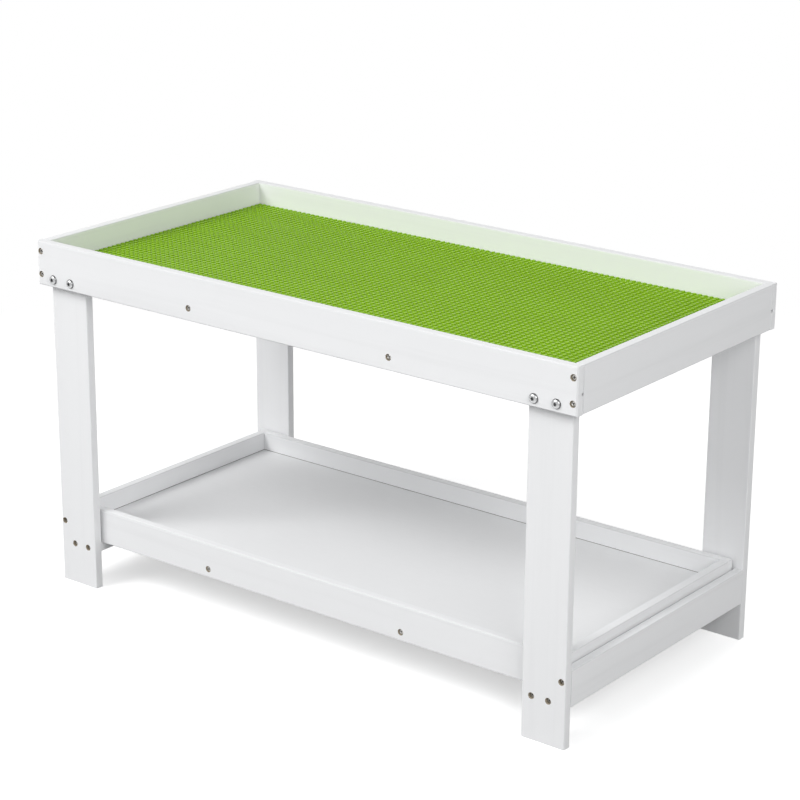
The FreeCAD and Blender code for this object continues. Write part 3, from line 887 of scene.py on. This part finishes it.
class PLAYTABLE_OT_set_stage(bpy.types.Operator):
    """Set the plain white floor, the lamps and the camera"""

    bl_idname = "play_table.set_stage"
    bl_label = "Set the stage"

    def execute(self, context):
        stage = context.scene.play_table_stage
        self.lay_floor(stage)
        self.light_room(context.scene, stage)
        self.hang_lamps(context.scene, stage)
        self.place_camera(context.scene, stage)
        context.scene.view_settings.view_transform = "Standard"
        return {"FINISHED"}

    def lay_floor(self, stage):
        """Pale floor that looks white, keeps the shadow, and throws little light back."""
        shape = bmesh.new()
        bmesh.ops.create_grid(shape, x_segments=1, y_segments=1, size=FLOOR_REACH)
        floor = new_piece("floor", mesh_of(shape, "floor"))
        material = bpy.data.materials.new("floor")
        material.use_nodes = True
        tree = material.node_tree
        tree.nodes.clear()
        seen = add_node(tree, "ShaderNodeBsdfDiffuse", {"Color": FLOOR_SEEN})
        unseen = add_node(tree, "ShaderNodeBsdfDiffuse", {"Color": FLOOR_UNSEEN})
        glow = add_node(tree, "ShaderNodeEmission", {"Strength": stage.floor_glow})
        lifted = add_node(tree, "ShaderNodeAddShader", {0: seen.outputs["BSDF"], 1: glow.outputs["Emission"]})
        white = add_node(tree, "ShaderNodeEmission")
        coords = add_node(tree, "ShaderNodeTexCoord")
        reach = add_node(tree, "ShaderNodeVectorMath", {0: coords.outputs["Object"]}, operation="LENGTH")
        away = add_range(tree, reach.outputs["Value"], FLOOR_FADE, (0.0, 1.0))
        faded = add_blend(tree, away, lifted.outputs["Shader"], white.outputs["Emission"])
        upper = add_blend(tree, add_seen_share(tree), unseen.outputs["BSDF"], faded)
        side = add_node(tree, "ShaderNodeNewGeometry")
        clear = add_node(tree, "ShaderNodeBsdfTransparent")
        surface = add_blend(tree, side.outputs["Backfacing"], upper, clear.outputs["BSDF"])
        add_node(tree, "ShaderNodeOutputMaterial", {"Surface": surface})
        floor.data.materials.append(material)

    def light_room(self, scene, stage):
        """White room for the camera, and an even soft light for the table."""
        scene.world = bpy.data.worlds.new("room")
        scene.world.use_nodes = True
        tree = scene.world.node_tree
        tree.nodes.clear()
        white = add_node(tree, "ShaderNodeBackground", {"Color": ROOM_SEEN}).outputs["Background"]
        soft = add_node(tree, "ShaderNodeBackground", {"Color": ROOM_UNSEEN, "Strength": stage.room})
        surface = add_blend(tree, add_seen_share(tree), soft.outputs["Background"], white)
        add_node(tree, "ShaderNodeOutputWorld", {"Surface": surface})

    def hang_lamps(self, scene, stage):
        """Large square lamps that face the table."""
        for name, (power, place, width) in LAMPS.items():
            light = bpy.data.lights.new(name, "AREA")
            light.shape = "SQUARE"
            light.size = width
            light.energy = getattr(stage, power)
            holder = bpy.data.objects.new(name, light)
            holder.location = place
            holder.rotation_euler = (Vector(LAMP_TARGET) - Vector(place)).to_track_quat("-Z", "Y").to_euler()
            scene.collection.objects.link(holder)

    def place_camera(self, scene, stage):
        """Camera that sees the table as in the photograph."""
        camera = bpy.data.cameras.new("photo_camera")
        camera.sensor_width = SENSOR_WIDTH
        camera.lens = stage.lens
        camera.clip_end = VIEW_DEPTH
        holder = bpy.data.objects.new("photo_camera", camera)
        holder.location = stage.eye
        holder.rotation_euler = stage.aim
        scene.collection.objects.link(holder)
        scene.camera = holder


OPERATORS = (
    PLAYTABLE_OT_paint_woodwork,
    PLAYTABLE_OT_set_studs,
    PLAYTABLE_OT_drive_screws,
    PLAYTABLE_OT_line_screw_seats,
    PLAYTABLE_OT_fit_bolts,
    PLAYTABLE_OT_set_stage,
)
SETTINGS = {
    "play_table_paint": PaintSettings,
    "play_table_studs": StudSettings,
    "play_table_fasteners": FastenerSettings,
    "play_table_stage": StageSettings,
}


class PLAYTABLE_PT_finish(bpy.types.Panel):
    """Steps and settings for finishing the play table"""

    bl_idname = "PLAYTABLE_PT_finish"
    bl_label = "Play table"
    bl_space_type = "VIEW_3D"
    bl_region_type = "UI"
    bl_category = "Play table"

    def draw(self, context):
        for operator in OPERATORS:
            self.layout.operator(operator.bl_idname)
        for name, group in SETTINGS.items():
            box = self.layout.box()
            box.label(text=group.__doc__)
            for setting in group.__annotations__:
                box.prop(getattr(context.scene, name), setting)


def register():
    for group in (*SETTINGS.values(), *OPERATORS, PLAYTABLE_PT_finish):
        bpy.utils.register_class(group)
    for name, group in SETTINGS.items():
        setattr(bpy.types.Scene, name, bpy.props.PointerProperty(type=group))


def unregister():
    for name in SETTINGS:
        delattr(bpy.types.Scene, name)
    for group in (PLAYTABLE_PT_finish, *reversed(OPERATORS), *reversed(SETTINGS.values())):
        bpy.utils.unregister_class(group)


def main():
    """Finish the table, piece by piece."""
    register()
    bpy.ops.play_table.paint_woodwork()
    bpy.ops.play_table.set_studs()
    bpy.ops.play_table.drive_screws()
    bpy.ops.play_table.line_screw_seats()
    bpy.ops.play_table.fit_bolts()
    bpy.ops.play_table.set_stage()


if __name__ == "__main__":
    main()
